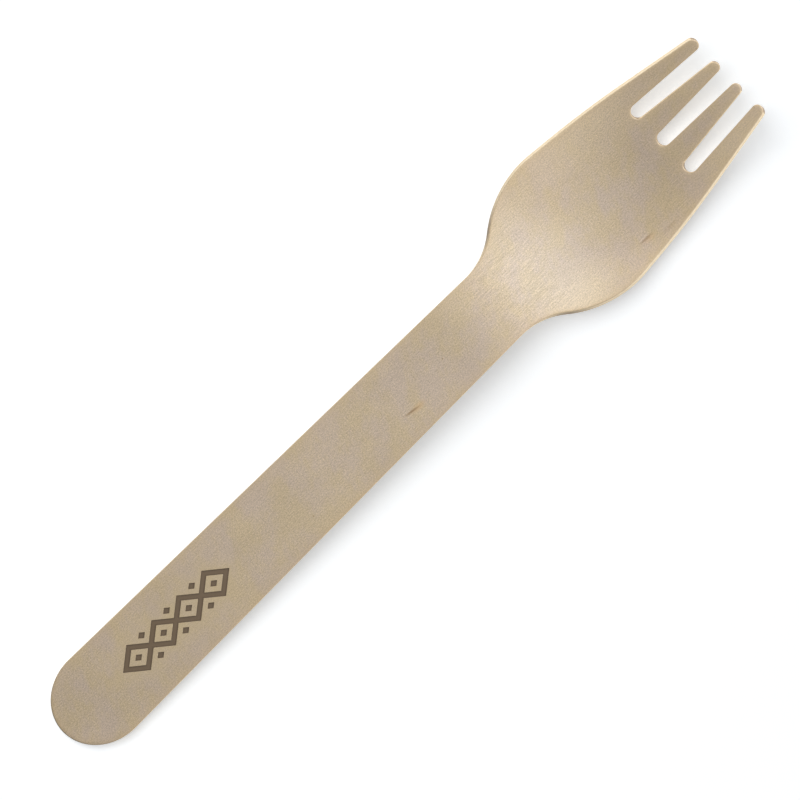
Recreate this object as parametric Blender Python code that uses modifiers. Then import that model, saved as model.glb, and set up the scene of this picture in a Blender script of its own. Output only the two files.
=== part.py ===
"""A single-use wooden fork: one sheet of birch veneer, die-cut to its outline and hot-pressed to shape.

Units are metres. The fork lies as it rests on a table: +X runs from the handle's end to the tines, +Y
across the head and +Z up. The origin is on the table, under the middle of the fork's bounding box.

The blank is drawn flat, with x measured from the handle's end and y from the centre line. The handle
keeps the plane z = 0, and the press pushes the head down from it.
"""
import math

import bmesh
import bpy
import numpy as np
from mathutils import Vector
from mathutils.geometry import delaunay_2d_cdt
from mathutils.kdtree import KDTree

# The sheet
SHEET_THICKNESS = 0.0016
EDGE_ROUNDING = 0.00022
EDGE_ROUNDING_STEPS = 2

# The handle: its end is half an ellipse, and its edges run straight to the neck
LENGTH = 0.1600
HANDLE_END_LENGTH = 0.0092
HANDLE_END_HALF_WIDTH = 0.00814
NECK_X = 0.1081
NECK_HALF_WIDTH = 0.0068
NECK_ROUNDING = 0.0046

# The head: straight sides that meet at rounded corners, each with how far its rounding reaches
SHOULDER_X = 0.1181
SHOULDER_HALF_WIDTH = 0.0146
SHOULDER_ROUNDING = 0.0080
CHEEK_X = 0.1379
CHEEK_HALF_WIDTH = 0.01267
CHEEK_ROUNDING = 0.0079
TIP_HALF_WIDTH = 0.00873

# The three slots between the four tines: each widens from its round root to its mouth
SLOT_ROOT_X = 0.1433
SLOT_ROOT_WIDTH = 0.00245
SLOT_MOUTH_WIDTH = 0.00320
OUTER_SLOT_ROOT_Y = 0.00652
OUTER_SLOT_MOUTH_Y = 0.00507

# The press, along the fork: flat handle, steep heel, then the rise that the tines follow to their tips
BEND_START_X = 0.092
HEEL_X = 0.112
HEEL_SLOPE = -math.tan(math.radians(19.0))
RISE_END_X = 0.143
TINE_SLOPE = math.tan(math.radians(7.0))

# The press, across the fork: z rises with the square of y, and the sides reach their slope at the shoulder
CUP_START_X = 0.098
CUP_END_X = 0.126
SIDE_SLOPE = math.tan(math.radians(18.0))

# How finely the blank is divided where it bends
STEP = 0.0012
ARC_STEP = math.radians(12.0)
CLEAR_OF_OUTLINE = 0.6 * STEP

BIRCH_COLOUR = (0.49, 0.39, 0.28, 1.0)
BIRCH_ROUGHNESS = 0.6


def clear_scene():
    for old in list(bpy.data.objects):
        bpy.data.objects.remove(old, do_unlink=True)


def make_collection(name):
    collection = bpy.data.collections.new(name)
    bpy.context.scene.collection.children.link(collection)
    return collection


def birch_material():
    material = bpy.data.materials.new("birch")
    material.use_nodes = True
    shader = material.node_tree.nodes["Principled BSDF"]
    shader.inputs["Base Color"].default_value = BIRCH_COLOUR
    shader.inputs["Roughness"].default_value = BIRCH_ROUGHNESS
    shader.inputs["Metallic"].default_value = 0.0
    return material


def rounded_corner(before, corner, after, reach):
    """Points of the arc that touches both sides of a corner at the distance reach from it."""
    towards_before = (before - corner).normalized()
    towards_after = (after - corner).normalized()
    turn = math.pi - towards_before.angle(towards_after)
    radius = reach / math.tan(turn / 2)
    middle = (towards_before + towards_after).normalized()
    centre = corner + middle * math.hypot(reach, radius)
    spoke = corner + towards_before * reach - centre
    side = 1 if towards_before.cross(towards_after) < 0 else -1
    steps = max(math.ceil(turn / ARC_STEP), math.ceil(turn * radius / STEP))
    points = []
    for step in range(steps + 1):
        angle = side * turn * step / steps
        turned = Vector((
            spoke.x * math.cos(angle) - spoke.y * math.sin(angle),
            spoke.x * math.sin(angle) + spoke.y * math.cos(angle),
        ))
        points.append(centre + turned)
    return points


def handle_end():
    """Quarter of an ellipse, from the centre line to the handle's straight edge."""
    steps = math.ceil(math.pi / 2 / (ARC_STEP / 2))
    points = []
    for step in range(steps + 1):
        angle = math.pi / 2 * step / steps
        x = HANDLE_END_LENGTH * (1 - math.cos(angle))
        points.append(Vector((x, HANDLE_END_HALF_WIDTH * math.sin(angle))))
    return points


def slot_corners(root_y, mouth_y):
    """The outer root corner and the outer mouth corner of a slot, then the inner root and mouth."""
    root = Vector((SLOT_ROOT_X, root_y))
    mouth = Vector((LENGTH, mouth_y))
    along = (mouth - root).normalized()
    across = Vector((-along.y, along.x))
    outer_root = root + across * SLOT_ROOT_WIDTH / 2
    inner_root = root - across * SLOT_ROOT_WIDTH / 2
    outer_mouth = mouth + Vector((0.0, SLOT_MOUTH_WIDTH / 2))
    inner_mouth = mouth - Vector((0.0, SLOT_MOUTH_WIDTH / 2))
    return outer_root, outer_mouth, inner_root, inner_mouth


def half_corners():
    """Corners of the blank's +Y half, each with its rounding, from the handle's edge to the middle slot."""
    outer_root, outer_mouth, inner_root, inner_mouth = slot_corners(OUTER_SLOT_ROOT_Y, OUTER_SLOT_MOUTH_Y)
    middle_root, middle_mouth = slot_corners(0.0, 0.0)[:2]
    outer_tip = Vector((LENGTH, TIP_HALF_WIDTH))
    outer_tine_round = (outer_tip.y - outer_mouth.y) / 2
    inner_tine_round = (inner_mouth.y - middle_mouth.y) / 2
    slot_round = SLOT_ROOT_WIDTH / 2
    return [
        (Vector((NECK_X, NECK_HALF_WIDTH)), NECK_ROUNDING),
        (Vector((SHOULDER_X, SHOULDER_HALF_WIDTH)), SHOULDER_ROUNDING),
        (Vector((CHEEK_X, CHEEK_HALF_WIDTH)), CHEEK_ROUNDING),
        (outer_tip, outer_tine_round),
        (outer_mouth, outer_tine_round),
        (outer_root, slot_round),
        (inner_root, slot_round),
        (inner_mouth, inner_tine_round),
        (middle_mouth, inner_tine_round),
        (middle_root, slot_round),
    ]


def half_outline():
    """Closed outline of the +Y half: round the handle's end, along the edge, the tines, and back."""
    points = handle_end()
    corners = half_corners()
    edge_end = corners[0][0]
    bent_share = (BEND_START_X - points[-1].x) / (edge_end.x - points[-1].x)
    points.append(points[-1].lerp(edge_end, bent_share))
    centre_line_end = Vector((SLOT_ROOT_X, 0.0))
    positions = [points[-1]] + [corner for corner, reach in corners] + [centre_line_end]
    for index, (corner, reach) in enumerate(corners):
        arc = rounded_corner(positions[index], corner, positions[index + 2], reach)
        if (arc[0] - points[-1]).length < STEP / 100:
            arc = arc[1:]
        points += arc
    points.append(Vector((BEND_START_X, 0.0)))
    return points


def divided(outline):
    """The same outline with extra points along its straight runs, wherever the sheet bends."""
    points = []
    for start, end in zip(outline, outline[1:] + outline[:1]):
        points.append(start)
        if min(start.x, end.x) > BEND_START_X - STEP / 100:
            steps = math.ceil((end - start).length / STEP)
            points += [start.lerp(end, step / steps) for step in range(1, steps)]
    return points


def inner_points(outline):
    """Rows of staggered points over the bent part of the half, kept clear of its outline."""
    tree = KDTree(len(outline))
    for index, point in enumerate(outline):
        tree.insert(point.to_3d(), index)
    tree.balance()
    row_gap = STEP * math.sqrt(3) / 2
    points = []
    for row in range(1, math.ceil(SHOULDER_HALF_WIDTH / row_gap)):
        y = row * row_gap
        for column in range(math.ceil((LENGTH - BEND_START_X) / STEP)):
            point = Vector((BEND_START_X + (column + row % 2 / 2) * STEP, y))
            if tree.find(point.to_3d())[2] > CLEAR_OF_OUTLINE:
                points.append(point)
    return points


def eased(share):
    """A smooth rise from 0 to 1, level at both ends."""
    share = np.clip(share, 0.0, 1.0)
    return share * share * (3 - 2 * share)


def eased_area(share):
    """Area under eased from 0 to share."""
    inside = np.clip(share, 0.0, 1.0)
    return inside ** 3 - inside ** 4 / 2 + np.maximum(share - 1.0, 0.0)


def pressed_height(x, y):
    """Height of the upper face: its slope eases from level to the heel's, and then to the tines'."""
    heel_run = HEEL_X - BEND_START_X
    rise_run = RISE_END_X - HEEL_X
    height = HEEL_SLOPE * heel_run * eased_area((x - BEND_START_X) / heel_run)
    height += (TINE_SLOPE - HEEL_SLOPE) * rise_run * eased_area((x - HEEL_X) / rise_run)
    tip_share = np.clip((x - SHOULDER_X) / (LENGTH - SHOULDER_X), 0.0, 1.0)
    half_width = SHOULDER_HALF_WIDTH + (TIP_HALF_WIDTH - SHOULDER_HALF_WIDTH) * tip_share
    cup = SIDE_SLOPE / (2 * half_width) * eased((x - CUP_START_X) / (CUP_END_X - CUP_START_X))
    return height + cup * y * y


def pressed_half_mesh():
    """The blank's +Y half as one layer of triangles, open at the centre line, pressed to its shape."""
    outline = divided(half_outline())
    points = outline + inner_points(outline)
    border = [list(range(len(outline)))]
    flat, edges, faces = delaunay_2d_cdt(points, [], border, 1, STEP / 1000)[:3]
    pressed = [(point.x, point.y, float(pressed_height(point.x, point.y))) for point in flat]
    mesh = bpy.data.meshes.new("fork")
    mesh.from_pydata(pressed, [], faces)
    shape = bmesh.new()
    shape.from_mesh(mesh)
    outside = [vertex for vertex in shape.verts if not vertex.link_faces]
    bmesh.ops.delete(shape, geom=outside, context="VERTS")
    shape.to_mesh(mesh)
    shape.free()
    return mesh


def make_fork(collection):
    mesh = pressed_half_mesh()
    mesh.materials.append(birch_material())
    fork = bpy.data.objects.new("fork", mesh)
    collection.objects.link(fork)
    mirror = fork.modifiers.new("both halves", "MIRROR")
    mirror.use_axis = (False, True, False)
    mirror.merge_threshold = 0.00001
    sheet = fork.modifiers.new("sheet", "SOLIDIFY")
    sheet.thickness = SHEET_THICKNESS
    sheet.offset = -1.0
    sheet.use_even_offset = True
    sheet.use_quality_normals = True
    edges = fork.modifiers.new("cut edges", "BEVEL")
    edges.width = EDGE_ROUNDING
    edges.segments = EDGE_ROUNDING_STEPS
    edges.limit_method = "ANGLE"
    edges.angle_limit = math.radians(50.0)
    return fork


def evaluated_points(thing):
    """Every corner of the finished mesh, in world space, as rows of x, y and z."""
    bpy.context.view_layer.update()
    finished = thing.evaluated_get(bpy.context.evaluated_depsgraph_get())
    return np.array([finished.matrix_world @ vertex.co for vertex in finished.data.vertices])


def lay_down(fork):
    """Tips the fork up about its handle's end until its belly is level with it, and centres it."""
    points = evaluated_points(fork)
    under = points[np.abs(points[:, 2] + SHEET_THICKNESS) < EDGE_ROUNDING / 10]
    end = under[np.argmin(under[:, 0])]
    head = points[points[:, 0] > HEEL_X]
    tilt = np.max(np.arctan2(end[2] - head[:, 2], head[:, 0] - end[0]))
    fork.rotation_euler.y = -tilt
    points = evaluated_points(fork)
    low = points.min(axis=0)
    high = points.max(axis=0)
    fork.location = Vector((-(low[0] + high[0]) / 2, -(low[1] + high[1]) / 2, -low[2]))


clear_scene()
wooden_fork = make_collection("wooden_fork")
lay_down(make_fork(wooden_fork))
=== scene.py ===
"""How the wooden fork looks: birch faces, cut edges, a stamped ornament, a white table and soft light.

Units are metres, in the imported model's frame. The blank is drawn flat, with x measured from the handle's
end and y from the centre line, then pressed, thickened, tipped and set down where the solid fork lies.
The wood's materials work in the flat blank's own millimetres, so that its grain bends with the sheet.
"""
import math

import bmesh
import bpy
import numpy as np
from mathutils import Matrix, Vector
from mathutils.geometry import delaunay_2d_cdt
from mathutils.kdtree import KDTree


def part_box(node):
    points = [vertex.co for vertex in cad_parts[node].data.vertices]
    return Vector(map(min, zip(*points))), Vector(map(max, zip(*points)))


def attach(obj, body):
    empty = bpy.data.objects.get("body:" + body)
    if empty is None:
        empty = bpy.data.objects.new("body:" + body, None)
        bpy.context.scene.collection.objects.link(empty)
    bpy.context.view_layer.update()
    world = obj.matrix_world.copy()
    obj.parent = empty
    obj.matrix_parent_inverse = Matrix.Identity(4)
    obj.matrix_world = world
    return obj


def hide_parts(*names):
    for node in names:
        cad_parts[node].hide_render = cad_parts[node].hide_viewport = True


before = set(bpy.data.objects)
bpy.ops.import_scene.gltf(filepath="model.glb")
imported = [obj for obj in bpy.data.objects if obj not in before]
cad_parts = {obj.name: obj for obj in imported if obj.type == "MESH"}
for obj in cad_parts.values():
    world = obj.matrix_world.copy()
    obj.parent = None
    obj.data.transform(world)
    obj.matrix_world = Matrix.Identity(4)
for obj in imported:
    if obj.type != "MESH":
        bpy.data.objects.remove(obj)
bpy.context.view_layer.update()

# The sheet, and how it is rounded where two faces meet at more than the angle
SHEET_THICKNESS = 0.0016
EDGE_ROUNDING = 0.00022
EDGE_ROUNDING_STEPS = 3
CUT_EDGE_ANGLE = math.radians(50.0)

# It thickens downwards from its upper face, and its cut walls take the material after that of the faces
DOWNWARDS = -1.0
CUT_MATERIAL_STEP = 1

# The handle
LENGTH = 0.1600
HANDLE_END_LENGTH = 0.0092
HANDLE_END_HALF_WIDTH = 0.00814
NECK_X = 0.1081
NECK_HALF_WIDTH = 0.0068
NECK_ROUNDING = 0.0046

# The head
SHOULDER_X = 0.1181
SHOULDER_HALF_WIDTH = 0.0146
SHOULDER_ROUNDING = 0.0080
CHEEK_X = 0.1379
CHEEK_HALF_WIDTH = 0.01267
CHEEK_ROUNDING = 0.0079
TIP_HALF_WIDTH = 0.00873

# The slots
SLOT_ROOT_X = 0.1433
SLOT_ROOT_WIDTH = 0.00245
SLOT_MOUTH_WIDTH = 0.00320
OUTER_SLOT_ROOT_Y = 0.00652
OUTER_SLOT_MOUTH_Y = 0.00507

# The press, along and across the fork
BEND_START_X = 0.092
HEEL_X = 0.112
HEEL_SLOPE = -math.tan(math.radians(19.0))
RISE_END_X = 0.143
TINE_SLOPE = math.tan(math.radians(7.0))
CUP_START_X = 0.098
CUP_END_X = 0.126
SIDE_SLOPE = math.tan(math.radians(18.0))

# How finely the visible sheet is divided, and how close its points may come to each other
STEP = 0.0006
ARC_STEP = math.radians(9.0)
CLEAR_OF_OUTLINE = 0.6 * STEP
SAME_PLACE = STEP / 100
MERGED_BELOW = STEP / 1000

# The sheet is filled with triangles only within its border
TRIANGLES_WITHIN_BORDER = 1

# The angle between two faces from which light shows an edge there
SHARP_ANGLE = math.radians(36.0)

# How the finished sheet's points are traced back to the blank and told apart
SLOPE_STEP = 0.00001
UNPRESS_ROUNDS = 4
UPPER_FACE_DEPTH = SHEET_THICKNESS / 4
UNDERSIDE_SLACK = EDGE_ROUNDING / 10

# Millimetres in a metre, for places in the blank and for the camera's sizes
MILLIMETRES = 1000

# The ornament stamped into the handle: a chain of hollow lozenges, with small solid ones in and beside it
ORNAMENT_X = 0.0271
LOZENGE_COUNT = 4
LOZENGE_PITCH = 0.0060
LOZENGE_HALF_WIDTH = 0.0024
STROKE = 0.0010
SMALL_HALF_LENGTH = 0.00085
SMALL_HALF_WIDTH = 0.00068
SMALL_ABREAST_Y = 0.00235
STAMP_DEPTH = 0.00008
STAMP_WALL = 0.00006
STAMP_RIM = 0.00034
STAMP_STEP = 0.0003
SCORCH_REACH = 0.0014

# Painted shade and light in the wood's colour: painted shade darkens the head, and painted light pales the
# head's sloped sides, short of the tines, as the light falls on them
HEAD_PAINTED_SHADE = 0.09
HEAD_SHADE_START_X = 0.104
HEAD_SHADE_END_X = 0.114
SIDES_PAINTED_LIGHT = 0.18
LIT_SIDES_START_FADING_X = 0.138
LIT_SIDES_END_X = 0.150

# How far in from the cut edge the wood has a warmer tan margin
MARGIN_REACH = 0.0008

# The wood's colours, linear
BIRCH_YELLOW = (0.536, 0.425, 0.274, 1.0)
BIRCH_PINK = (0.524, 0.421, 0.329, 1.0)
# Paler wood, also used as painted light on the head's sloped sides
BIRCH_PALE_AND_LIT = (0.640, 0.520, 0.360, 1.0)
BIRCH_PORE = (0.330, 0.240, 0.150, 1.0)
MARGIN_TAN = (0.605, 0.460, 0.280, 1.0)
SCORCHED = (0.560, 0.440, 0.260, 1.0)
STAMP_RIM_BROWN = (0.095, 0.064, 0.040, 1.0)
STAMPED = (0.155, 0.106, 0.064, 1.0)
FLECK_BROWN = (0.270, 0.165, 0.075, 1.0)
STAIN_ORANGE = (0.620, 0.400, 0.190, 1.0)
CUT_CREAM = (0.850, 0.700, 0.480, 1.0)
CUT_LINE = (0.660, 0.490, 0.300, 1.0)
END_GRAIN = (0.310, 0.225, 0.145, 1.0)

# Marks of this veneer, in millimetres of the flat blank: each has its middle, half length and half width,
# then how strong it is, and for a fleck its turn from the grain in degrees
FLECKS = [
    ((80.8, -2.9), 2.4, 0.30, 0.85, -8.0),
    ((130.2, -10.1), 2.3, 0.38, 0.6, -1.0),
    ((134.7, -11.5), 3.0, 0.55, 0.25, 1.0),
    ((90.8, -0.2), 0.24, 0.20, 0.8, 0.0),
    ((56.3, -3.8), 0.24, 0.20, 0.8, 0.0),
]
STAINS = [
    ((82.1, -3.1), 2.4, 0.9, 0.5),
    ((130.6, -10.5), 2.2, 0.8, 0.3),
]
# Pale patches: partly paler veneer, partly painted light on the head's sloped sides and shoulders
PALE_AND_LIT_PATCHES = [
    ((137.0, 11.0), 22.0, 10.0, 0.7),
    ((115.0, -9.5), 11.0, 8.0, 0.8),
    ((116.0, 10.0), 9.0, 6.0, 0.5),
    ((153.0, -9.0), 13.0, 4.0, 0.6),
    ((60.0, 0.0), 40.0, 12.0, 0.12),
]

# Between which places along the blank, in millimetres, its fibres start and stop showing as pale streaks
# where the neck is stretched over the heel; the streaks also paint the heel's glossy sheen
STREAKS_BEGIN = (98.0, 105.0)
STREAKS_END = (119.0, 111.0)

# Patterns in the wood: the length of a patch along the grain and across it in millimetres, its turn from
# the grain, its detail and roughness, and a shift that sets it apart from the other patterns
TONE = (5.0, 9.0, math.radians(28.0), 5.0, 0.65, 0.0)
CLOUD = (14.0, 9.0, 0.0, 2.0, 0.5, 11.0)
FIBRE = (2.8, 0.17, 0.0, 3.0, 0.65, 31.0)
SPECKLE = (0.26, 0.20, 0.0, 2.0, 0.7, 57.0)
STREAK = (9.0, 0.45, 0.0, 2.0, 0.5, 83.0)
PORES = (1.1, 0.15, 0.0, 1.0, 0.5, 7.0)
# The heel's stretched fibres, whose streaks are partly painted sheen
STRETCH_MARKS_AND_SHEEN = (2.4, 0.22, 0.0, 2.0, 0.5, 23.0)
CUT_LINES = (3.0, 0.12, 0.0, 3.0, 0.6, 17.0)
CUT_PORES = (0.16, 0.12, 0.0, 2.0, 0.7, 41.0)

# What each pattern does: between which two of its values, and the factor, share or roughness at each
TONE_SHARE = (0.36, 0.64, 0.0, 1.0)
CLOUD_FACTOR = (0.30, 0.70, 0.965, 1.035)
FIBRE_FACTOR = (0.30, 0.70, 1.06, 0.93)
SPECKLE_FACTOR = (0.25, 0.75, 1.28, 0.75)
STRETCH_AND_SHEEN_FACTOR = (0.35, 0.65, 0.90, 1.10)
PORE_SHARE = (0.68, 0.80, 0.0, 0.5)
FACE_ROUGHNESS = (0.30, 0.70, 0.29, 0.39)
CUT_LINE_SHARE = (0.45, 0.75, 0.0, 1.0)

# In the same way, how much end grain a cut wall shows by how squarely it faces along the fork
END_GRAIN_SHARE = (0.30, 0.65, 0.0, 1.0)

# How strongly the margin and the stamp colour the wood, and how far its grain stands out
SCORCHED_SHARE = 0.6
MARGIN_SHARE = 0.6
STAMPED_SHARE = 0.95
CUT_ROUGHNESS = 0.7
FACE_RELIEF = {"Strength": 0.2, "Distance": 0.00002}
CUT_RELIEF = {"Strength": 0.6, "Distance": 0.00003}

# Which sockets of a colour blend take its share and its two colours, and which gives the result
MIX_SHARE = 0
MIX_FIRST = 6
MIX_SECOND = 7
MIX_RESULT = 2

# The camera looks square at the handle, with the fork turned in its picture
CAMERA_DISTANCE = 1.0
CAMERA_REACH = 10.0
CAMERA_LEAN = math.radians(-3.2)
PICTURE_WIDTH = 0.1366
PICTURE_TURN = math.radians(44.62)
PICTURE_CENTRE = Vector((0.00051, -0.00009, 0.005))
SENSOR_WIDTH = 0.036

# The studio: each softbox has its azimuth from +X and its tilt from straight above, in degrees,
# its distance and width in metres, and its power in watts
WOOD_SOFTBOXES = {
    "over_the_tines": (0.0, 45.0, 1.4, 0.8, 8.5),
    "low_past_the_tines": (0.0, 60.0, 1.0, 0.5, 3.4),
    "beside_the_tines": (30.0, 45.0, 1.0, 0.5, 2.3),
    "overhead": (0.0, 8.0, 1.0, 0.5, 0.9),
    "low_on_the_left": (68.0, 80.0, 1.0, 0.4, 2.8),
    "low_on_the_right": (292.0, 80.0, 1.0, 0.4, 3.4),
}
TABLE_SOFTBOX = (108.0, 30.0, 2.4, 2.5, 47.0)
TABLE_SIZE = 4.0
TABLE_COLOUR = (0.90, 0.90, 0.90, 1.0)
TABLE_ROUGHNESS = 0.9
TABLE_GLOW_COLOUR = (0.84, 0.90, 0.96, 1.0)
TABLE_GLOW = 0.45
DOME_COLOUR = (1.0, 1.0, 1.0, 1.0)
DOME_STRENGTH = 0.15


def rounded_corner(before, corner, after, reach):
    """Points of the arc that touches both sides of a corner at the distance reach from it."""
    towards_before = (before - corner).normalized()
    towards_after = (after - corner).normalized()
    turn = math.pi - towards_before.angle(towards_after)
    radius = reach / math.tan(turn / 2)
    middle = (towards_before + towards_after).normalized()
    centre = corner + middle * math.hypot(reach, radius)
    spoke = corner + towards_before * reach - centre
    side = 1 if towards_before.cross(towards_after) < 0 else -1
    steps = max(math.ceil(turn / ARC_STEP), math.ceil(turn * radius / STEP))
    points = []
    for step in range(steps + 1):
        angle = side * turn * step / steps
        turned = Vector((
            spoke.x * math.cos(angle) - spoke.y * math.sin(angle),
            spoke.x * math.sin(angle) + spoke.y * math.cos(angle),
        ))
        points.append(centre + turned)
    return points


def handle_end():
    """Quarter of an ellipse, from the centre line to the handle's straight edge."""
    steps = math.ceil(math.pi / 2 * HANDLE_END_LENGTH / STEP)
    points = []
    for step in range(steps + 1):
        angle = math.pi / 2 * step / steps
        x = HANDLE_END_LENGTH * (1 - math.cos(angle))
        points.append(Vector((x, HANDLE_END_HALF_WIDTH * math.sin(angle))))
    return points


def slot_corners(root_y, mouth_y):
    """The outer root corner and the outer mouth corner of a slot, then the inner root and mouth."""
    root = Vector((SLOT_ROOT_X, root_y))
    mouth = Vector((LENGTH, mouth_y))
    along = (mouth - root).normalized()
    across = Vector((-along.y, along.x))
    outer_root = root + across * SLOT_ROOT_WIDTH / 2
    inner_root = root - across * SLOT_ROOT_WIDTH / 2
    outer_mouth = mouth + Vector((0.0, SLOT_MOUTH_WIDTH / 2))
    inner_mouth = mouth - Vector((0.0, SLOT_MOUTH_WIDTH / 2))
    return outer_root, outer_mouth, inner_root, inner_mouth


def half_corners():
    """Corners of the blank's +Y half, each with its rounding, from the handle's edge to the middle slot."""
    outer_root, outer_mouth, inner_root, inner_mouth = slot_corners(OUTER_SLOT_ROOT_Y, OUTER_SLOT_MOUTH_Y)
    middle_root, middle_mouth = slot_corners(0.0, 0.0)[:2]
    outer_tip = Vector((LENGTH, TIP_HALF_WIDTH))
    outer_tine_round = (outer_tip.y - outer_mouth.y) / 2
    inner_tine_round = (inner_mouth.y - middle_mouth.y) / 2
    slot_round = SLOT_ROOT_WIDTH / 2
    return [
        (Vector((NECK_X, NECK_HALF_WIDTH)), NECK_ROUNDING),
        (Vector((SHOULDER_X, SHOULDER_HALF_WIDTH)), SHOULDER_ROUNDING),
        (Vector((CHEEK_X, CHEEK_HALF_WIDTH)), CHEEK_ROUNDING),
        (outer_tip, outer_tine_round),
        (outer_mouth, outer_tine_round),
        (outer_root, slot_round),
        (inner_root, slot_round),
        (inner_mouth, inner_tine_round),
        (middle_mouth, inner_tine_round),
        (middle_root, slot_round),
    ]


def half_outline():
    """The +Y half of the outline, from the handle's end to the root of the middle slot."""
    points = handle_end()
    corners = half_corners()
    positions = [points[-1]] + [corner for corner, reach in corners] + [Vector((SLOT_ROOT_X, 0.0))]
    for index, (corner, reach) in enumerate(corners):
        arc = rounded_corner(positions[index], corner, positions[index + 2], reach)
        if (arc[0] - points[-1]).length < SAME_PLACE:
            arc = arc[1:]
        steps = math.ceil((arc[0] - points[-1]).length / STEP)
        points += [points[-1].lerp(arc[0], step / steps) for step in range(1, steps)]
        points += arc
    return points


def whole_outline():
    """Both halves: out along the +Y edge to the middle slot, and back along the -Y edge."""
    there = half_outline()
    back = [Vector((point.x, -point.y)) for point in reversed(there[1:-1])]
    return there + back


def lozenge_reach(half_length, half_width):
    """Distance from a lozenge's middle to its sides."""
    return half_length * half_width / math.hypot(half_length, half_width)


def moved_in(half_length, half_width, inset):
    """Half length and half width of a lozenge once its sides have moved in by inset."""
    share = 1 - inset / lozenge_reach(half_length, half_width)
    return half_length * share, half_width * share


def lozenge_places():
    """Middles of the chain's lozenges along the fork."""
    first = ORNAMENT_X - LOZENGE_PITCH * (LOZENGE_COUNT - 1) / 2
    return [first + LOZENGE_PITCH * index for index in range(LOZENGE_COUNT)]


def small_places():
    """Middles of the small solid lozenges: one in each link, and a pair abreast of each joint."""
    places = [(x, 0.0) for x in lozenge_places()]
    for x in lozenge_places()[:-1]:
        places += [(x + LOZENGE_PITCH / 2, SMALL_ABREAST_Y), (x + LOZENGE_PITCH / 2, -SMALL_ABREAST_Y)]
    return places


def lozenge_outline(x, y, half_length, half_width):
    """The four corners of a lozenge, from the one nearest the handle's end and over its top."""
    return [
        Vector((x - half_length, y)),
        Vector((x, y + half_width)),
        Vector((x + half_length, y)),
        Vector((x, y - half_width)),
    ]


def chain_outline(half_length, half_width):
    """Outer edge of the joined lozenges: from the tip over their tops and joints, and back underneath."""
    places = lozenge_places()
    joint = half_width * (1 - LOZENGE_PITCH / 2 / half_length)
    upper = [Vector((places[0], half_width))]
    for x in places[1:]:
        upper += [Vector((x - LOZENGE_PITCH / 2, joint)), Vector((x, half_width))]
    lower = [Vector((point.x, -point.y)) for point in reversed(upper)]
    tips = Vector((places[0] - half_length, 0.0)), Vector((places[-1] + half_length, 0.0))
    return [tips[0]] + upper + [tips[1]] + lower


def ornament_outlines(inset):
    """Every edge of the ornament, moved into its strokes by inset."""
    link = LOZENGE_PITCH / 2, LOZENGE_HALF_WIDTH
    outlines = [chain_outline(*moved_in(*link, inset - STROKE / 2))]
    outlines += [lozenge_outline(x, 0.0, *moved_in(*link, STROKE / 2 - inset)) for x in lozenge_places()]
    small = moved_in(SMALL_HALF_LENGTH, SMALL_HALF_WIDTH, inset)
    outlines += [lozenge_outline(x, y, *small) for x, y in small_places()]
    return outlines


def within_lozenge(x, y, middle, half_length, half_width):
    """How far each point lies inside a lozenge's sides; less than zero outside it."""
    share = 1 - np.abs(x - middle[0]) / half_length - np.abs(y - middle[1]) / half_width
    return share * lozenge_reach(half_length, half_width)


def within_ornament(x, y):
    """How far each point lies inside the ornament's strokes; less than zero outside them."""
    link = LOZENGE_PITCH / 2, LOZENGE_HALF_WIDTH
    small = SMALL_HALF_LENGTH, SMALL_HALF_WIDTH
    within_links = [within_lozenge(x, y, (middle_x, 0.0), *link) for middle_x in lozenge_places()]
    within_small = [within_lozenge(x, y, middle, *small) for middle in small_places()]
    strokes = STROKE / 2 - np.abs(np.max(within_links, axis=0))
    return np.maximum(strokes, np.max(within_small, axis=0))


def divided(outline, step_length):
    """The same closed outline with extra points along its sides."""
    points = []
    for start, end in zip(outline, outline[1:] + outline[:1]):
        steps = math.ceil((end - start).length / step_length)
        points += [start.lerp(end, step / steps) for step in range(steps)]
    return points


def inner_points(outline):
    """Rows of staggered points over the sheet, kept clear of its outline and of the ornament's."""
    tree = KDTree(len(outline))
    for index, point in enumerate(outline):
        tree.insert(point.to_3d(), index)
    tree.balance()
    row_gap = STEP * math.sqrt(3) / 2
    rows = math.ceil(SHOULDER_HALF_WIDTH / row_gap)
    points = []
    for row in range(-rows, rows + 1):
        stagger = row % 2 / 2
        for column in range(math.ceil(LENGTH / STEP)):
            point = Vector(((column + stagger) * STEP, row * row_gap))
            _, _, distance = tree.find(point.to_3d())
            if distance > CLEAR_OF_OUTLINE:
                points.append(point)
    return points


def eased(share):
    """A smooth rise from 0 to 1, level at both ends."""
    share = np.clip(share, 0.0, 1.0)
    return share * share * (3 - 2 * share)


def eased_area(share):
    """Area under eased from 0 to share."""
    inside = np.clip(share, 0.0, 1.0)
    return inside ** 3 - inside ** 4 / 2 + np.maximum(share - 1.0, 0.0)


def pressed_height(x, y):
    """Height of the upper face: its slope eases from level to the heel's, and then to the tines'."""
    heel_run = HEEL_X - BEND_START_X
    rise_run = RISE_END_X - HEEL_X
    height = HEEL_SLOPE * heel_run * eased_area((x - BEND_START_X) / heel_run)
    height += (TINE_SLOPE - HEEL_SLOPE) * rise_run * eased_area((x - HEEL_X) / rise_run)
    tip_share = np.clip((x - SHOULDER_X) / (LENGTH - SHOULDER_X), 0.0, 1.0)
    half_width = SHOULDER_HALF_WIDTH + (TIP_HALF_WIDTH - SHOULDER_HALF_WIDTH) * tip_share
    cup = SIDE_SLOPE / (2 * half_width) * eased((x - CUP_START_X) / (CUP_END_X - CUP_START_X))
    return height + cup * y * y


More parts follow.
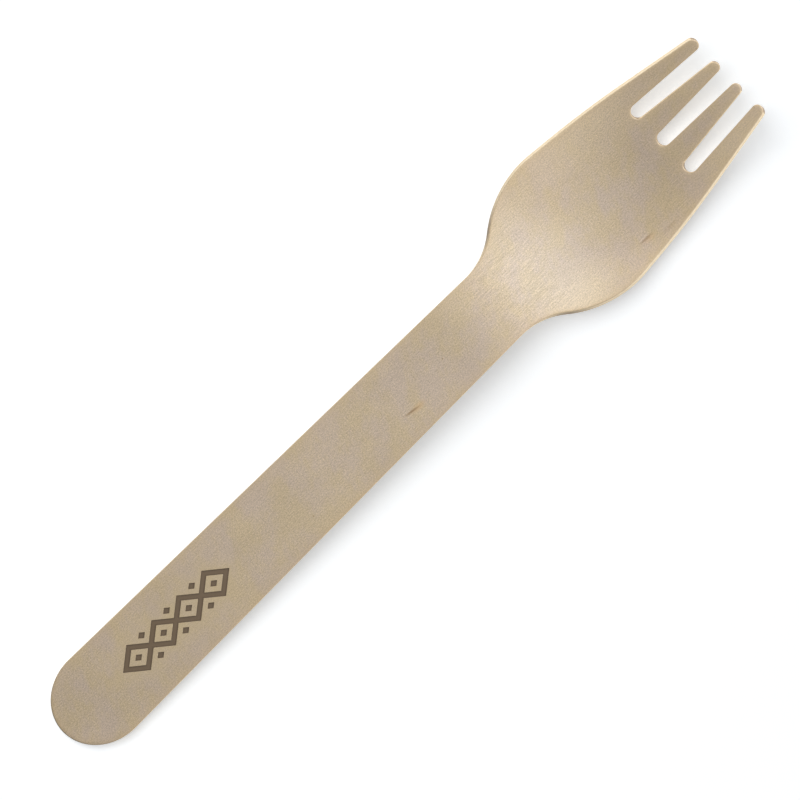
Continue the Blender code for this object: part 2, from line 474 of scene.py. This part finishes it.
def unpressed(points):
    """Where each point of the pressed sheet lay in the flat blank, its depth below the upper face, and how
    steeply that face slopes there across the fork."""
    x = points[:, 0]
    y = points[:, 1]
    for _ in range(UNPRESS_ROUNDS):
        slope_x = (pressed_height(x + SLOPE_STEP, y) - pressed_height(x - SLOPE_STEP, y)) / (2 * SLOPE_STEP)
        slope_y = (pressed_height(x, y + SLOPE_STEP) - pressed_height(x, y - SLOPE_STEP)) / (2 * SLOPE_STEP)
        steepness = np.sqrt(1 + slope_x ** 2 + slope_y ** 2)
        depth = (pressed_height(x, y) - points[:, 2]) * steepness
        x = points[:, 0] - depth * slope_x / steepness
        y = points[:, 1] - depth * slope_y / steepness
    return x, y, depth, slope_y


def painted_light_and_shade(x, slope_y):
    """Painted shade on the head and painted light on its sloped sides, as a factor on each point's colour.
    """
    head = eased((x - HEAD_SHADE_START_X) / (HEAD_SHADE_END_X - HEAD_SHADE_START_X))
    fading = eased((x - LIT_SIDES_START_FADING_X) / (LIT_SIDES_END_X - LIT_SIDES_START_FADING_X))
    sides = (slope_y / SIDE_SLOPE) ** 2 * (1 - fading)
    return 1 - HEAD_PAINTED_SHADE * head + SIDES_PAINTED_LIGHT * sides


def pressed_sheet():
    """The blank's upper face as one layer of fine triangles, pressed to its shape."""
    outline = whole_outline()
    loops = [outline]
    for inset in (0.0, STAMP_WALL, STAMP_RIM):
        loops += [divided(loop, STAMP_STEP) for loop in ornament_outlines(inset)]
    points = []
    edges = []
    for loop in loops:
        numbers = list(range(len(points), len(points) + len(loop)))
        edges += zip(numbers, numbers[1:] + numbers[:1])
        points += loop
    border = [list(range(len(outline)))]
    points += inner_points(points)
    flat, _, faces = delaunay_2d_cdt(points, edges, border, TRIANGLES_WITHIN_BORDER, MERGED_BELOW)[:3]
    flat_points = np.array([(point.x, point.y) for point in flat])
    heights = pressed_height(flat_points[:, 0], flat_points[:, 1])
    mesh = bpy.data.meshes.new("fork_sheet")
    mesh.from_pydata(np.column_stack((flat_points, heights)).tolist(), [], faces)
    shape = bmesh.new()
    shape.from_mesh(mesh)
    outside = [vertex for vertex in shape.verts if not vertex.link_faces]
    bmesh.ops.delete(shape, geom=outside, context="VERTS")
    shape.to_mesh(mesh)
    shape.free()
    return mesh


def finished(thing):
    """The object's mesh with its modifiers applied, as a new mesh."""
    bpy.context.view_layer.update()
    evaluated = thing.evaluated_get(bpy.context.evaluated_depsgraph_get())
    return bpy.data.meshes.new_from_object(evaluated)


def mesh_points(mesh):
    """Every corner of a mesh as rows of x, y and z."""
    return np.array([vertex.co for vertex in mesh.vertices])


def distance_to(outline, x, y):
    """Distance of each flat point from the nearest stretch of a closed outline."""
    nearest = np.full(len(x), LENGTH)
    for start, end in zip(outline, outline[1:] + outline[:1]):
        along = end - start
        share = ((x - start.x) * along.x + (y - start.y) * along.y) / along.length_squared
        share = np.clip(share, 0.0, 1.0)
        gap = np.hypot(x - start.x - share * along.x, y - start.y - share * along.y)
        nearest = np.minimum(nearest, gap)
    return nearest


def add_values(mesh, name, kind, values):
    """Stores one value, or one row of them, for each corner of the mesh, for its materials to read."""
    attribute = mesh.attributes.new(name, kind, "POINT")
    field = "vector" if kind == "FLOAT_VECTOR" else "value"
    attribute.data.foreach_set(field, np.asarray(values, dtype=np.float32).ravel())


def stamp_and_mark(mesh):
    """Presses the ornament into the upper face, and stores what the wood's materials need to know."""
    points = mesh_points(mesh)
    x, y, depth, slope_y = unpressed(points)
    upper = depth < UPPER_FACE_DEPTH
    inside = within_ornament(x, y)
    stamped = np.where(upper, np.clip(inside / STAMP_WALL, 0.0, 1.0), 0.0)
    within_rim = np.clip(inside / STAMP_RIM, 0.0, 1.0)
    scorched = np.where(upper, np.exp(np.minimum(inside, 0.0) / SCORCH_REACH), 0.0)
    margin = np.exp(-distance_to(whole_outline(), x, y) / MARGIN_REACH)
    points[:, 2] -= stamped * STAMP_DEPTH
    mesh.vertices.foreach_set("co", points.ravel())
    add_values(mesh, "blank", "FLOAT_VECTOR", np.column_stack((x, y, depth)) * MILLIMETRES)
    add_values(mesh, "stamped", "FLOAT", stamped)
    add_values(mesh, "within_rim", "FLOAT", within_rim)
    add_values(mesh, "scorched", "FLOAT", scorched)
    add_values(mesh, "margin", "FLOAT", margin)
    # The stored tone is painted shade on the head and painted light on its sloped sides
    add_values(mesh, "tone", "FLOAT", painted_light_and_shade(x, slope_y))


def lay_down(mesh):
    """Tips the pressed fork onto its handle's end and its belly, and moves it into the solid's place."""
    points = mesh_points(mesh)
    under = points[np.abs(points[:, 2] + SHEET_THICKNESS) < UNDERSIDE_SLACK]
    end = under[np.argmin(under[:, 0])]
    head = points[points[:, 0] > HEEL_X]
    tilt = np.max(np.arctan2(end[2] - head[:, 2], head[:, 0] - end[0]))
    mesh.transform(Matrix.Rotation(-tilt, 4, "Y"))
    points = mesh_points(mesh)
    low = points.min(axis=0)
    high = points.max(axis=0)
    solid_low, solid_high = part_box("fork")
    shift = Vector((
        (solid_low[0] + solid_high[0] - low[0] - high[0]) / 2,
        (solid_low[1] + solid_high[1] - low[1] - high[1]) / 2,
        solid_low[2] - low[2],
    ))
    mesh.transform(Matrix.Translation(shift))


def make_fork():
    """The visible fork: the pressed sheet thickened, its edges rounded, stamped, marked and laid down."""
    sheet = bpy.data.objects.new("fork_sheet", pressed_sheet())
    bpy.context.scene.collection.objects.link(sheet)
    sheet.data.materials.append(face_material())
    sheet.data.materials.append(cut_material())
    thick = sheet.modifiers.new("sheet", "SOLIDIFY")
    thick.thickness = SHEET_THICKNESS
    thick.offset = DOWNWARDS
    thick.use_even_offset = True
    thick.use_quality_normals = True
    thick.material_offset_rim = CUT_MATERIAL_STEP
    edges = sheet.modifiers.new("cut edges", "BEVEL")
    edges.width = EDGE_ROUNDING
    edges.segments = EDGE_ROUNDING_STEPS
    edges.limit_method = "ANGLE"
    edges.angle_limit = CUT_EDGE_ANGLE
    mesh = finished(sheet)
    bpy.data.objects.remove(sheet)
    mesh.name = "fork_birch"
    stamp_and_mark(mesh)
    lay_down(mesh)
    mesh.shade_smooth()
    mesh.set_sharp_from_angle(angle=SHARP_ANGLE)
    fork = bpy.data.objects.new("fork_birch", mesh)
    bpy.context.scene.collection.objects.link(fork)
    flat = fork.modifiers.new("flat faces stay flat", "WEIGHTED_NORMAL")
    flat.keep_sharp = True
    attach(fork, "root")
    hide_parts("fork")
    return fork


def new_node(tree, kind, inputs=None, **settings):
    """Adds a node, and gives its inputs plain values or other nodes' outputs."""
    node = tree.nodes.new(kind)
    for name, value in settings.items():
        setattr(node, name, value)
    for name, value in (inputs or {}).items():
        if isinstance(value, bpy.types.NodeSocket):
            tree.links.new(value, node.inputs[name])
        else:
            node.inputs[name].default_value = value
    return node


def stored(tree, name, output="Fac"):
    """What the mesh stores under a name: a single number, or a place if the output Vector is asked for."""
    return new_node(tree, "ShaderNodeAttribute", attribute_name=name).outputs[output]


def calculated(tree, operation, first, second=0.0):
    """The result of a sum or other operation on one or two numbers."""
    return new_node(tree, "ShaderNodeMath", {0: first, 1: second}, operation=operation).outputs[0]


def blended(tree, share, first, second):
    """The first colour where the share is 0, and the second where it is 1."""
    inputs = {MIX_SHARE: share, MIX_FIRST: first, MIX_SECOND: second}
    return new_node(tree, "ShaderNodeMix", inputs, data_type="RGBA").outputs[MIX_RESULT]


def smooth_step(tree, value, low, high, bottom=0.0, top=1.0):
    """Bottom up to low, top from high on, and an easy slope between."""
    inputs = {"Value": value, "From Min": low, "From Max": high, "To Min": bottom, "To Max": top}
    node = new_node(tree, "ShaderNodeMapRange", inputs, interpolation_type="SMOOTHSTEP")
    return node.outputs["Result"]


def pattern(tree, place, along, across, turn, detail, roughness, shift):
    """Soft noise in patches of the given length along the grain and across it, in millimetres."""
    turned = new_node(tree, "ShaderNodeMapping", {
        "Vector": place,
        "Location": (shift, shift, 0.0),
        "Rotation": (0.0, 0.0, turn),
    }).outputs[0]
    scaled = new_node(tree, "ShaderNodeVectorMath", {
        0: turned,
        1: (1 / along, 1 / across, 1 / across),
    }, operation="MULTIPLY").outputs[0]
    noise = new_node(tree, "ShaderNodeTexNoise", {
        "Vector": scaled,
        "Scale": 1.0,
        "Detail": detail,
        "Roughness": roughness,
    })
    return noise.outputs["Fac"]


def spot(tree, place, middle, half_length, half_width, turn=0.0):
    """1 at the middle of a soft oval in the wood, and 0 outside it; lengths in millimetres."""
    moved = new_node(tree, "ShaderNodeVectorMath", {
        0: place,
        1: (middle[0], middle[1], 0.0),
    }, operation="SUBTRACT").outputs[0]
    turned = new_node(tree, "ShaderNodeVectorRotate", {"Vector": moved, "Angle": -turn}).outputs[0]
    scaled = new_node(tree, "ShaderNodeVectorMath", {
        0: turned,
        1: (1 / half_length, 1 / half_width, 1.0),
    }, operation="MULTIPLY").outputs[0]
    length = new_node(tree, "ShaderNodeVectorMath", {0: scaled}, operation="LENGTH").outputs["Value"]
    return smooth_step(tree, length, 1.0, 0.0)


def new_material(name):
    """A new material, its node tree and its shader."""
    material = bpy.data.materials.new(name)
    material.use_nodes = True
    return material, material.node_tree, material.node_tree.nodes["Principled BSDF"]


def shaded(tree, colour, factor):
    """The colour made paler or darker by a factor."""
    inputs = {0: colour, "Scale": factor}
    return new_node(tree, "ShaderNodeVectorMath", inputs, operation="SCALE").outputs[0]


def marked(tree, colour, mark, share, mark_colour):
    """The colour with a mark over it, which covers the share of it where the mark is 1."""
    return blended(tree, calculated(tree, "MULTIPLY", mark, share), colour, mark_colour)


def veneer_colour(tree, place, fibre):
    """Soft patches of two tones, paler places that are partly painted light, clouds, fibres and a fine
    speckle.
    """
    tone = pattern(tree, place, *TONE)
    cloud = pattern(tree, place, *CLOUD)
    speckle = pattern(tree, place, *SPECKLE)
    colour = blended(tree, smooth_step(tree, tone, *TONE_SHARE), BIRCH_YELLOW, BIRCH_PINK)
    for middle, half_length, half_width, share in PALE_AND_LIT_PATCHES:
        pale_and_lit_patch = spot(tree, place, middle, half_length, half_width)
        colour = marked(tree, colour, pale_and_lit_patch, share, BIRCH_PALE_AND_LIT)
    colour = shaded(tree, colour, smooth_step(tree, cloud, *CLOUD_FACTOR))
    colour = shaded(tree, colour, smooth_step(tree, fibre, *FIBRE_FACTOR))
    return shaded(tree, colour, smooth_step(tree, speckle, *SPECKLE_FACTOR))


def pressed_colour(tree, place, colour):
    """The colour with pale streaks where it is stretched over the heel, partly painted sheen, and with the
    painted light and shade stored as tone.
    """
    along = new_node(tree, "ShaderNodeSeparateXYZ", {0: place}).outputs["X"]
    past_start = smooth_step(tree, along, *STREAKS_BEGIN)
    before_end = smooth_step(tree, along, *STREAKS_END)
    stretched = calculated(tree, "MULTIPLY", past_start, before_end)
    # Pale and dark streaks of stretched fibre, which also paint the heel's glossy sheen
    stretch_marks_and_sheen = pattern(tree, place, *STRETCH_MARKS_AND_SHEEN)
    streaked = shaded(tree, colour, smooth_step(tree, stretch_marks_and_sheen, *STRETCH_AND_SHEEN_FACTOR))
    colour = blended(tree, stretched, colour, streaked)
    # Painted shade darkens the head and painted light pales its sloped sides
    return shaded(tree, colour, stored(tree, "tone"))


def flawed_colour(tree, place, colour):
    """The colour with the wood's pores, stains and flecks."""
    pores = pattern(tree, place, *PORES)
    colour = blended(tree, smooth_step(tree, pores, *PORE_SHARE), colour, BIRCH_PORE)
    for middle, half_length, half_width, share in STAINS:
        stain = spot(tree, place, middle, half_length, half_width)
        colour = marked(tree, colour, stain, share, STAIN_ORANGE)
    for middle, half_length, half_width, share, turn in FLECKS:
        fleck = spot(tree, place, middle, half_length, half_width, math.radians(turn))
        colour = marked(tree, colour, fleck, share, FLECK_BROWN)
    return colour


def stamped_colour(tree, colour):
    """The colour scorched round the ornament, tan along the cut edge, and burnt where the stamp went in."""
    colour = marked(tree, colour, stored(tree, "scorched"), SCORCHED_SHARE, SCORCHED)
    colour = marked(tree, colour, stored(tree, "margin"), MARGIN_SHARE, MARGIN_TAN)
    burnt = blended(tree, stored(tree, "within_rim"), STAMP_RIM_BROWN, STAMPED)
    return marked(tree, colour, stored(tree, "stamped"), STAMPED_SHARE, burnt)


def add_relief(tree, shader, relief, settings):
    """Lets a pattern stand out from the surface."""
    bump = new_node(tree, "ShaderNodeBump", {"Height": relief, **settings})
    tree.links.new(bump.outputs[0], shader.inputs["Normal"])


def face_material():
    """The broad faces: satin birch with everything that the press, the stamp and the tree left on it."""
    material, tree, shader = new_material("birch_face")
    place = stored(tree, "blank", "Vector")
    fibre = pattern(tree, place, *FIBRE)
    streak = pattern(tree, place, *STREAK)
    colour = veneer_colour(tree, place, fibre)
    colour = pressed_colour(tree, place, colour)
    colour = flawed_colour(tree, place, colour)
    colour = stamped_colour(tree, colour)
    tree.links.new(colour, shader.inputs["Base Color"])
    tree.links.new(smooth_step(tree, streak, *FACE_ROUGHNESS), shader.inputs["Roughness"])
    add_relief(tree, shader, calculated(tree, "ADD", fibre, streak), FACE_RELIEF)
    return material


def cut_material():
    """The die-cut walls: pale with fine lines along the grain, and brown where they cross it."""
    material, tree, shader = new_material("birch_cut")
    place = stored(tree, "blank", "Vector")
    lines = pattern(tree, place, *CUT_LINES)
    pores = pattern(tree, place, *CUT_PORES)
    colour = blended(tree, smooth_step(tree, lines, *CUT_LINE_SHARE), CUT_CREAM, CUT_LINE)
    normal = new_node(tree, "ShaderNodeTexCoord").outputs["Normal"]
    facing = new_node(tree, "ShaderNodeSeparateXYZ", {0: normal}).outputs["X"]
    end = smooth_step(tree, calculated(tree, "ABSOLUTE", facing), *END_GRAIN_SHARE)
    colour = blended(tree, end, colour, END_GRAIN)
    tree.links.new(colour, shader.inputs["Base Color"])
    shader.inputs["Roughness"].default_value = CUT_ROUGHNESS
    add_relief(tree, shader, calculated(tree, "ADD", lines, pores), CUT_RELIEF)
    return material


def table_material():
    """Matt white that glows a little, so that the ground stays white away from the fork's shadow."""
    material, _, shader = new_material("white_table")
    shader.inputs["Base Color"].default_value = TABLE_COLOUR
    shader.inputs["Roughness"].default_value = TABLE_ROUGHNESS
    shader.inputs["Emission Color"].default_value = TABLE_GLOW_COLOUR
    shader.inputs["Emission Strength"].default_value = TABLE_GLOW
    return material


def make_camera():
    """A long lens above the fork, square to the handle, with the fork turned in the picture."""
    back = Vector((math.sin(CAMERA_LEAN), 0.0, math.cos(CAMERA_LEAN)))
    right = Vector((math.cos(PICTURE_TURN), -math.sin(PICTURE_TURN), 0.0))
    right = (right - back * right.dot(back)).normalized()
    up = back.cross(right)
    data = bpy.data.cameras.new("camera")
    data.sensor_width = SENSOR_WIDTH * MILLIMETRES
    data.lens = SENSOR_WIDTH * MILLIMETRES * CAMERA_DISTANCE / PICTURE_WIDTH
    data.clip_end = CAMERA_REACH
    camera = bpy.data.objects.new("camera", data)
    place = Matrix((right, up, back)).transposed().to_4x4()
    place.translation = PICTURE_CENTRE + back * CAMERA_DISTANCE
    camera.matrix_world = place
    bpy.context.scene.collection.objects.link(camera)
    bpy.context.scene.camera = camera


def make_table():
    """The white ground that the fork lies on."""
    bpy.ops.mesh.primitive_plane_add(size=TABLE_SIZE)
    table = bpy.context.object
    table.name = "table"
    table.data.materials.append(table_material())
    return table


def make_softbox(name, lit, azimuth, tilt, distance, width, power):
    """A round softbox that faces the fork and lights only the things in one collection."""
    azimuth = math.radians(azimuth)
    tilt = math.radians(tilt)
    way = Vector((math.sin(tilt) * math.cos(azimuth), math.sin(tilt) * math.sin(azimuth), math.cos(tilt)))
    data = bpy.data.lights.new(name, "AREA")
    data.shape = "DISK"
    data.size = width
    data.energy = power
    light = bpy.data.objects.new(name, data)
    light.location = way * distance
    light.rotation_euler = way.to_track_quat("Z", "Y").to_euler()
    light.light_linking.receiver_collection = lit
    bpy.context.scene.collection.objects.link(light)


def make_dome():
    """Faint even light from all sides."""
    world = bpy.data.worlds.new("studio")
    world.use_nodes = True
    background = world.node_tree.nodes["Background"]
    background.inputs["Color"].default_value = DOME_COLOUR
    background.inputs["Strength"].default_value = DOME_STRENGTH
    bpy.context.scene.world = world


def collected(name, thing):
    """A collection that holds one thing, for lights to be linked to."""
    collection = bpy.data.collections.new(name)
    collection.objects.link(thing)
    return collection


make_camera()
make_dome()
only_table = collected("only_table", make_table())
only_fork = collected("only_fork", make_fork())
for name, settings in WOOD_SOFTBOXES.items():
    make_softbox(name, only_fork, *settings)
make_softbox("beside_the_table", only_table, *TABLE_SOFTBOX)
bpy.context.scene.view_settings.view_transform = "Standard"
